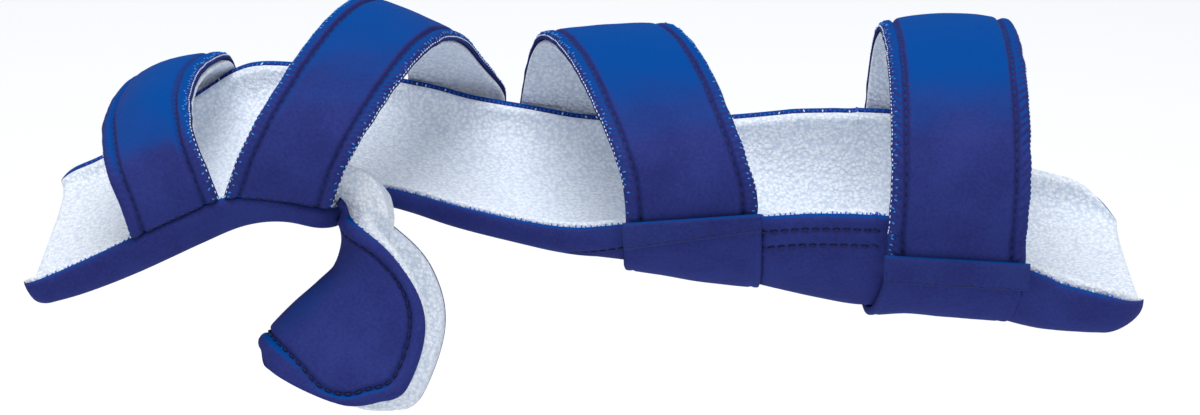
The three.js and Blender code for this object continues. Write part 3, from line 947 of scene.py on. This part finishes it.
# %% [markdown]
# Two plain bands of the same cloth pass under the trough and hold the wrist and
# forearm straps. They are single sheets drawn tight against the shell, with a
# turned edge. A cloth simulation would only find the same stretched curve, so
# the bands are laid on the shell's form directly. A band's near end runs parallel
# to the strap above it, and the forearm band drifts to the finger end below. A band
# spans straight, so at its elbow side, where the trough is deeper, it presses the
# padding in. The shell's own points are moved in there, just as the foam would be.

# %% Bands under the trough
BAND = 2.4
BAND_WIDTH = 40.0
BAND_FAR = 0.72
BAND_STEPS = 60
BAND_ROUND = 1.0
BAND_WAVE = Wave(12, 0.2)
BAND_HEM, BAND_HEM_INSET, BAND_HEM_WIDTH = 0.25, 2.6, 0.5
PRESS_EDGE = (-1.8, 0.3)
PRESS_TOP, PRESS_POWER = 3.0, 1.5
HALVINGS = 20
RIM_END, WALL_END = -1.0, -0.5
Band = namedtuple("Band", "near drift press")
BANDS = {"wrist": Band(-0.94, 0, 2.0), "forearm": Band(-0.79, -4.6, 2.7)}


def halving(passes, fails, test):
    """The last value that passes a test, between one that does and one that doesn't."""
    for _ in range(HALVINGS):
        middle = (passes + fails) / 2
        passes, fails = (middle, fails) if test(middle) else (passes, middle)
    return passes


def band_place(name):
    """A function of share, q and lift: 0 is the near end and 1 the far end."""
    end, band = ENDS[name], BANDS[name]
    level = off_wall(end.near_x, band.near, 0).z
    climb = math.tan(math.radians(end.near_slope))
    found = {}

    def end_share(x):
        if x not in found:
            top = level + climb * (x - end.near_x)
            found[x] = halving(WALL_END, RIM_END, lambda t: off_wall(x, t, 0).z < top)
        return found[x]

    def place(share, q, lift):
        t = band.near + (BAND_FAR - band.near) * share
        x = end.near_x + q * BAND_WIDTH / 2
        up = (t / band.near) ** 2 if t < 0 else 0
        return off_wall(x + band.drift * (1 - up), t + (end_share(x) - band.near) * up, lift)
    return place


def band_press(name, q):
    """How far the band sinks into the padding."""
    return BANDS[name].press * min(max(q, 0), 1) ** PRESS_POWER


def press_shell(name):
    end, band = ENDS[name], BANDS[name]
    tops = [off_wall(end.near_x, t, 0).z for t in (band.near, BAND_FAR)]
    floor = off_wall(end.near_x, 0, 0).z
    moved = 0
    for vertex in trough_cover.data.vertices:
        point = vertex.co / MM
        top = tops[0] if point.y < 0 else tops[1]
        outer = vertex.normal.dot(Vector((0, point.y, point.z - top))) > 0
        up = min(max((point.z - floor) / (tops[0] - floor), 0), 1) if point.y < 0 else 0
        past = point.x - end.near_x - band.drift * (1 - up)
        fade = 1 - step_up(past - BAND_WIDTH / 2, *PRESS_EDGE)
        under = 1 - step_up(point.z, top, top + PRESS_TOP)
        depth = band_press(name, 2 * past / BAND_WIDTH) * fade * under
        if outer and depth > 0:
            vertex.co -= vertex.normal * depth * MM
            moved += 1
    print(name, "band presses", moved, "points of the shell")


def band_surface(name, place, length):
    def surface(share, q, upper):
        run = share * length
        inset = (1 - abs(q)) * BAND_WIDTH / 2
        full = round_off(inset, BAND_ROUND) * round_off(min(run, length - run), BAND_ROUND)
        soft = BAND_WAVE.height * noise.noise(Vector((run / BAND_WAVE.size, q * 2, 7)))
        hem = BAND_HEM * bell(inset - BAND_HEM_INSET, BAND_HEM_WIDTH)
        height = BAND / 2 + (BAND / 2 + soft - hem if upper else -BAND / 2) * full
        return place(share, q, height - band_press(name, q))
    return surface


for name in BANDS:
    press_shell(name)
    place = band_place(name)
    line = [place(n / BAND_STEPS, 0, BAND / 2) for n in range(BAND_STEPS + 1)]
    length = sum((b - a).length for a, b in zip(line, line[1:]))
    across = stations(BAND_WIDTH / 2, 4, 0.4, 2.4)
    cloth = rolled_grid(f"{name}_band_cloth", lengthwise(length, 1.2, 2, 0.3), across,
                        band_surface(name, place, length), blue_cloth)
    declare(cloth, f"{name}_band")
    print(name, "band flat:", round(BAND_WIDTH), "x", round(length), "mm")

# %% [markdown]
# A hook tab is sewn over the near ends of the wrist and forearm straps: a short
# strip, folded and plain. It is peeled up to open the strap. It follows the strap's
# own path a little higher up, so it can be another rolled grid on that path.

# %% Hook tabs
TAB = 2.0
TAB_HEIGHT = 8.0
TAB_OVERHANG = 1.0
TAB_ROUND, TAB_PUFF = 0.9, 0.3
TAB_LIFT = STRAP_WALL + FACE_WAVE.height + GAP


def tab_surface(strap):
    reach = 1 + 2 * TAB_OVERHANG / strap.width

    def surface(share, q, upper):
        run = share * TAB_HEIGHT
        inset = (1 - abs(q)) * strap.width / 2
        full = round_off(inset, TAB_ROUND) * round_off(min(run, TAB_HEIGHT - run), TAB_ROUND)
        puff = TAB_PUFF * math.sin(math.pi * share)
        height = TAB_LIFT + TAB / 2 + (TAB / 2 + puff if upper else -TAB / 2) * full
        return strap.place(run, q * reach, height)
    return surface


for name in BANDS:
    strap = straps[name]
    across = stations(strap.width / 2, 3, 0.3, 1.5)
    tab = rolled_grid(f"{name}_tab_cloth", lengthwise(TAB_HEIGHT, 0.4, 1.6, 0.2), across,
                      tab_surface(strap), hook_cloth)
    declare(tab, f"{name}_tab")

for block in (strap_room, thumb_room):
    bpy.data.objects.remove(block)

# %% [markdown]
# Sewing shows everywhere on the splint. A stitch is a short, thick bit of thread
# that dips into the cloth at both ends, so a stretched ball is near enough. Each
# row is a path on a piece's surface, and the stitches of one kind are joined
# into one mesh. Curves with a round bevel would look the same but cost more.

# %% Rows of stitches
Thread = namedtuple("Thread", "pitch length thickness sink")
SEAM = Thread(3.0, 2.3, 0.8, 0.1)
# the tab's row: stitches as long as their pitch make an unbroken dark line, partly sewing and partly
# painted shade under the tab's folded edge
TAB_SEAM_AND_SHADE_LINE = Thread(2.6, 2.6, 0.5, 0.1)
SEAM_FROM, SEAM_TO = 0.01, 0.93
END_ROW, END_ROW_WIDTH = 1.3, 0.96
ROW_STEPS = 60
PROBE = 0.002
STILL = 1e-6


def ball(places, centre, along, across, normal, length, thickness):
    """Where one stitch lies: a ball stretched along the thread."""
    axes = Matrix((along * length / 2, across * thickness / 2, normal * thickness / 2)).transposed()
    places.append(Matrix.Translation(centre * MM) @ (axes * MM).to_4x4())


def stitches(name, places, material):
    """One ball is made, and a copy of its points goes to every place."""
    one = bmesh.new()
    bmesh.ops.create_uvsphere(one, u_segments=6, v_segments=4, radius=1.0)
    points = [vertex.co.copy() for vertex in one.verts]
    faces = [[vertex.index for vertex in face.verts] for face in one.faces]
    one.free()
    spots = [place @ point for place in places for point in points]
    loops = [[n * len(points) + k for k in face] for n in range(len(places)) for face in faces]
    mesh = bpy.data.meshes.new(name)
    mesh.from_pydata(spots, [], loops)
    return smooth_piece(name, mesh, material)


def sew(places, path, kind):
    """path is a list of (point, normal) pairs in mm, close together."""
    run, due = 0.0, kind.pitch / 2
    for (a, normal), (b, _) in zip(path, path[1:]):
        step = b - a
        if step.length < STILL:
            continue
        while due <= run + step.length:
            along = step.normalized()
            across = normal.cross(along).normalized()
            centre = a + along * (due - run) - normal * kind.sink
            ball(places, centre, along, across, along.cross(across), kind.length, kind.thickness)
            due += kind.pitch
        run += step.length


def across_path(surface, share, start, end, count):
    """A path across a strap; its normal is found from the surface itself."""
    return [face_point(surface, share, start + (end - start) * n / count) for n in range(count + 1)]


def along_path(surface, q, start, end, count):
    return [face_point(surface, start + (end - start) * n / count, q) for n in range(count + 1)]


def face_point(surface, share, q):
    point = surface(share, q, True)
    ahead = surface(min(share + PROBE, 1), q, True) - surface(max(share - PROBE, 0), q, True)
    side = surface(share, min(q + PROBE, 1), True) - surface(share, max(q - PROBE, -1), True)
    return point, side.cross(ahead).normalized()


navy = []
for name, strap in straps.items():
    surface = strap_surfaces[name]
    groove = 1 - 2 * BORDER / strap.width
    for sign in (-1, 1):
        sew(navy, along_path(surface, sign * groove, SEAM_FROM, SEAM_TO, STEPS), SEAM)
    if strap.sewn:
        row = across_path(surface, END_ROW / strap.length, -END_ROW_WIDTH, END_ROW_WIDTH, ROW_STEPS)
        sew(navy, row, SEAM)
print("strap stitches:", len(navy))

# %% [markdown]
# The same dark thread sews the trough's two rim rows, the thumb's hem and the
# tabs. On a tab the row is unbroken and lies by the folded lower edge, so it is
# also a painted shade line for the shadow under that fold. The hem's row keeps 5 mm
# from the edge, so for each place along the thumb the distance from the rim is found
# by halving, and then the row turns along the tip.

# %% Sewing on the troughs and tabs
HEM_START = 20.0
HEM_STEPS, RIM_STEPS = 240, 300
RIM_SINK, HEM_SINK = 0.45, 0.55
TAB_ROW, TAB_ROW_WIDTH = 0.14, 0.95


def wall_point(trough, run, q, depth):
    point = trough.place(run, q, depth)
    return point, (trough.place(run, q, depth + 1) - point).normalized()


def rim_row(sign, inset):
    path = []
    for n in range(RIM_STEPS):
        run = tray.run_at(RIM_ROW_START + (RIM_ROW_END - RIM_ROW_START) * n / (RIM_STEPS - 1))
        q = sign * (1 - inset / tray.reach(run, sign))
        path.append(wall_point(tray, run, q, WALL - RIM_SINK))
    return path


def hem_row(sign):
    path = []
    last = thumb.length - HEM
    for n in range(HEM_STEPS):
        run = HEM_START + (last - HEM_START) * n / (HEM_STEPS - 1)
        tip = thumb.length - run
        inset = halving(HEM, HEM + HEM_CORNER, lambda rim: nearer(rim, tip, HEM_CORNER) < HEM)
        q = sign * (1 - inset / thumb.reach(run, sign))
        path.append(wall_point(thumb, run, q, WALL - HEM_SINK))
    start = sign * (1 - (HEM + HEM_CORNER) / thumb.reach(last, sign))
    turn = [start * (1 - n / ROW_STEPS) for n in range(1, ROW_STEPS)]
    return path + [wall_point(thumb, last, q, WALL - HEM_SINK) for q in turn]


for sign in (-1, 1):
    for inset in RIM_ROWS:
        sew(navy, rim_row(sign, inset), SEAM)
    sew(navy, hem_row(sign), SEAM)
for name in BANDS:
    # the tab's row by its lower fold: a sewing row that is also a painted shade line
    row = across_path(tab_surface(straps[name]), TAB_ROW, -TAB_ROW_WIDTH, TAB_ROW_WIDTH, ROW_STEPS)
    sew(navy, row, TAB_SEAM_AND_SHADE_LINE)
print("navy stitches:", len(navy))

# %% [markdown]
# The cut edges are overlocked: a machine wraps thread round them to stop fraying.
# On a strap the white looper thread shows as fine dashes along the shoulder of the
# edge, and azure needle thread flecks the border beside it. On the rims the thread
# is a mid blue with a little white. A sewn edge is never quite even, so a seeded
# random generator shifts and sizes each stitch a little.

# %% Overlocked edges
LOOP_PITCH = 1.45
LOOP_INSET = 0.28
TAB_COVERS = 15.0
LOOP_LONG, LOOP_THICK = (0.75, 1.15), 0.4
FLECK_PITCH = 1.7
FLECK_INSET = (0.6, 1.6)
FLECK_LONG, FLECK_THICK = (0.6, 1.3), (0.35, 0.6)
RIM_PITCH = 1.5
RIM_LONG, RIM_THICK = (1.6, 2.6), 0.5
RIM_WHITE = 0.12
FLECKED = (("finger", 1), ("palm", -1), ("palm", 1), ("wrist", -1), ("wrist", 1), ("forearm", -1))
loose = random.Random(7)
white = []
azure = []
tufts = []


def loop_edge(strap, surface, sign):
    """White looper thread: dashes along the shoulder of the edge."""
    q = sign * (1 - 2 * LOOP_INSET / strap.width)
    run = 1.5 if strap.sewn else TAB_COVERS
    while run < SEAM_TO * strap.length:
        point, normal = face_point(surface, run / strap.length, q)
        across, upward = strap.at_run(run)[1:]
        along = upward.cross(across) + across * loose.uniform(-0.3, 0.3)
        along = (along - normal * along.dot(normal)).normalized()
        ball(white, point, along, normal.cross(along), normal, loose.uniform(*LOOP_LONG), LOOP_THICK)
        run += LOOP_PITCH * loose.uniform(0.9, 1.1)


def fleck_edge(strap, surface, sign):
    """Azure needle thread: irregular specks on the puffed border."""
    run = 2.0
    while run < 0.9 * strap.length:
        inset = loose.uniform(*FLECK_INSET)
        point, normal = face_point(surface, run / strap.length, sign * (1 - 2 * inset / strap.width))
        across = strap.at_run(run)[1]
        along = across * sign + normal.cross(across) * loose.uniform(-0.6, 0.6)
        along = (along - normal * along.dot(normal)).normalized()
        length, thickness = loose.uniform(*FLECK_LONG), loose.uniform(*FLECK_THICK)
        ball(azure, point, along, normal.cross(along), normal, length, thickness)
        run += FLECK_PITCH * loose.uniform(0.6, 1.6)


def rim_edge(trough, sign, start, end):
    """Blue thread wrapped over a trough's rim, white in a few places."""
    run = start
    while run < end:
        inner, outer = trough.place(run, sign, 2), trough.place(run, sign, 6)
        up = (trough.place(run, sign, 4) - trough.place(run, sign * 0.97, 4)).normalized()
        ahead = (trough.place(run + 0.5, sign, 4) - trough.place(run - 0.5, sign, 4)).normalized()
        along = (outer - inner + ahead * loose.uniform(-1.5, 1.5)).normalized()
        side = along.cross(up).normalized()
        centre = trough.place(run, sign, loose.uniform(4.4, 5.2)) + up * loose.uniform(-0.6, -0.2)
        target = white if loose.random() < RIM_WHITE else tufts
        ball(target, centre, along, side, side.cross(along), loose.uniform(*RIM_LONG), RIM_THICK)
        run += RIM_PITCH * loose.uniform(0.8, 1.2)


for name, strap in straps.items():
    for sign in (-1, 1):
        loop_edge(strap, strap_surfaces[name], sign)
for name, sign in FLECKED:
    fleck_edge(straps[name], strap_surfaces[name], sign)
for sign in (-1, 1):
    rim_edge(tray, sign, 8, tray.length - 8)
    rim_edge(thumb, sign, WEB_START + 6, thumb.length - 3)
print("overlock:", len(white), "white", len(azure), "azure", len(tufts), "blue")

# %% [markdown]
# Each colour of thread becomes one piece. Stitches replace no solid: they only lie
# on the cloth, so they ride with it and share its slot.

# %% Threads as pieces
for places, name, material, slot in (
    (navy, "seam_stitches", navy_thread, "loop_cloth"),
    (azure, "needle_stitches", azure_thread, "loop_cloth"),
    (tufts, "rim_overlock", blue_thread, "loop_cloth"),
    (white, "looper_thread", white_thread, "terry_lining"),
):
    piece = stitches(name, places, material)
    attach(piece, "root")
    print(piece.name, len(piece.data.polygons), "faces")

# %% [markdown]
# The floor is pale and lies well below the splint, so that it stays out of the way
# of the trough's shape. Light comes from everywhere, as in a studio tent, with a soft
# lamp above and a weaker one in front. Standard view keeps the cloth's own colours.

# %% Stage
FLOOR_Z = -0.16
FLOOR_HALF = 6.0
TENT_STRENGTH = 0.6


def soft_lamp(name, place, size, power):
    data = bpy.data.lights.new(name, "AREA")
    data.shape = "DISK"
    data.size = size
    data.energy = power
    lamp = bpy.data.objects.new(name, data)
    lamp.location = place
    lamp.rotation_euler = (-Vector(place)).to_track_quat("-Z", "Y").to_euler()
    bpy.context.scene.collection.objects.link(lamp)


# studio paper: an even matt white
paper, _, shader = new_material("white_paper")
shader.inputs["Base Color"].default_value = colour("#f4f6f9")
shader.inputs["Roughness"].default_value = 1.0
shader.inputs["Specular IOR Level"].default_value = 0.0
bm = bmesh.new()
bmesh.ops.create_grid(bm, x_segments=1, y_segments=1, size=FLOOR_HALF,
                      matrix=Matrix.Translation((0, 0, FLOOR_Z)))
floor = finished(bm, "floor", paper)

world = bpy.data.worlds.new("studio_tent")
world.use_nodes = True
background = world.node_tree.nodes["Background"]
background.inputs["Color"].default_value = colour("#ffffff")
background.inputs["Strength"].default_value = TENT_STRENGTH
bpy.context.scene.world = world
bpy.context.scene.view_settings.view_transform = "Standard"
soft_lamp("lamp_above", (-0.1, -0.1, 1.5), 1.2, 18)
soft_lamp("lamp_front", (0.5, -1.6, 0.7), 1.0, 3)
print("floor at", FLOOR_Z)
